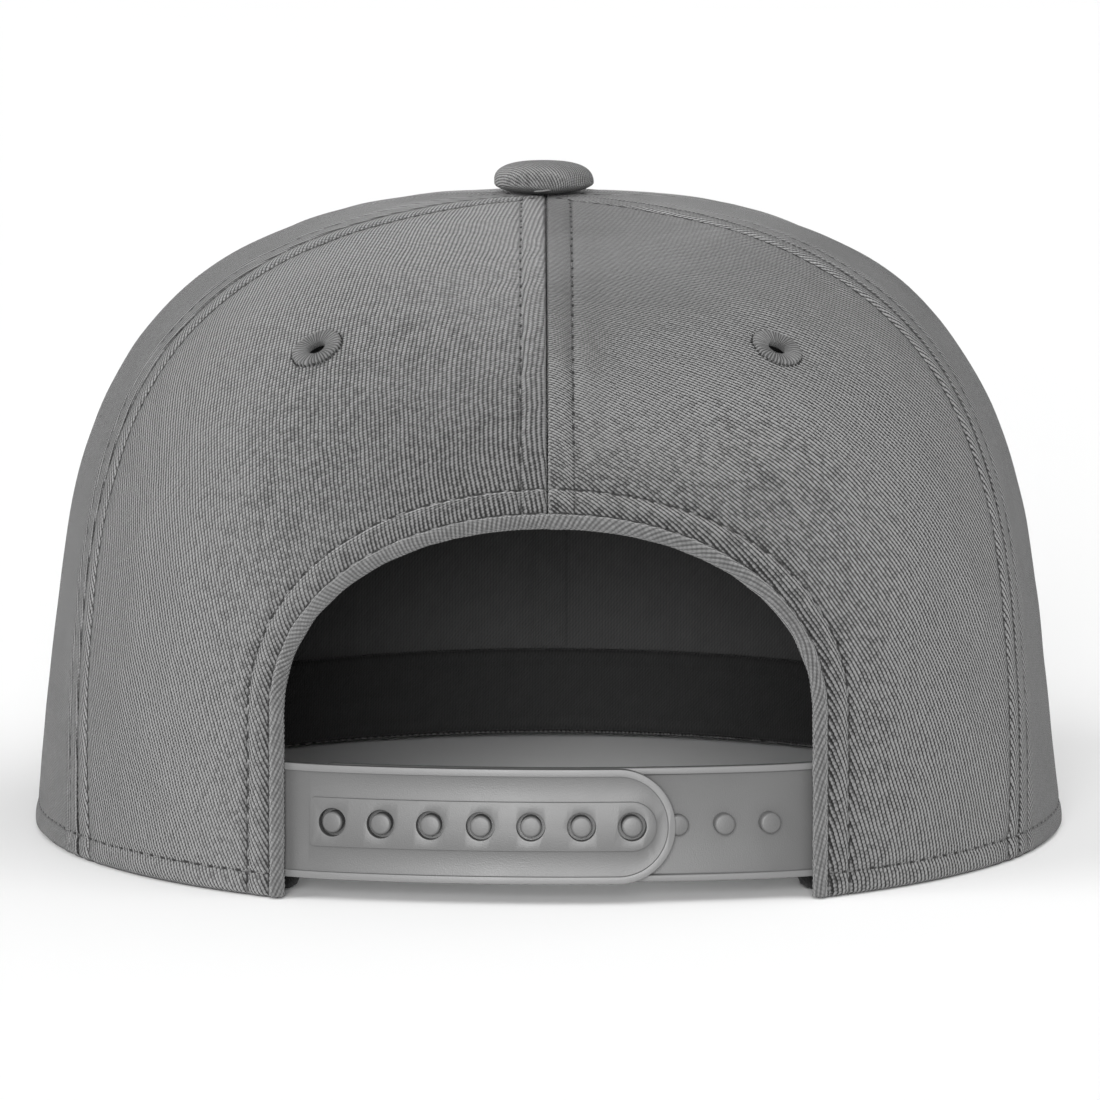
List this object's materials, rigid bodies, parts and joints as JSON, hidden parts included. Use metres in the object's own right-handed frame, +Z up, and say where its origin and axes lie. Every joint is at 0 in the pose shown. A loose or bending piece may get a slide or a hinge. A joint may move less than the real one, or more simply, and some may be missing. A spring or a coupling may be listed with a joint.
{
  "type": "snapback cap",
  "caption": "Structured twill cap with a flat visor, an arch over an adjustable snap strap at the back, and a covered button on top.",
  "frame": {"origin": "under the middle of the cap's outline, on the surface that it rests on", "axes": "+Z up, +Y towards the front of the visor, so the snap strap faces -Y; +X to the wearer's right"},
  "size_m": [0.187, 0.2608, 0.1196],
  "materials": {
    "panel_twill": "coarse cotton twill, matt mid grey",
    "visor_twill": "coarse cotton twill over a board, with stitch rows",
    "button_twill": "twill stretched over a domed shell",
    "eyelet_thread": "satin stitch thread",
    "lining_cloth": "dark stiffened cloth",
    "tape_cloth": "dark woven tape",
    "sweatband_cloth": "dark woven band",
    "strap_plastic": "moulded plastic with a soft sheen"
  },
  "bodies": {
    "root": {"back_panel_left": "panel_twill", "back_panel_right": "panel_twill", "side_panel_left": "panel_twill", "side_panel_right": "panel_twill", "front_panel_left": "panel_twill", "front_panel_right": "panel_twill", "eyelet_back_left": "eyelet_thread", "eyelet_back_right": "eyelet_thread", "eyelet_side_left": "eyelet_thread", "eyelet_side_right": "eyelet_thread", "eyelet_front_left": "eyelet_thread", "eyelet_front_right": "eyelet_thread", "seam_tape_rear": "tape_cloth", "seam_tape_rear_right": "tape_cloth", "seam_tape_rear_left": "tape_cloth", "seam_tape_front_right": "tape_cloth", "seam_tape_front_left": "tape_cloth", "seam_tape_front": "tape_cloth", "front_lining": "lining_cloth", "sweatband": "sweatband_cloth", "visor": "visor_twill", "strap_with_holes": "strap_plastic", "strap_with_pegs": "strap_plastic", "button": "button_twill"}
  },
  "joints": []
}
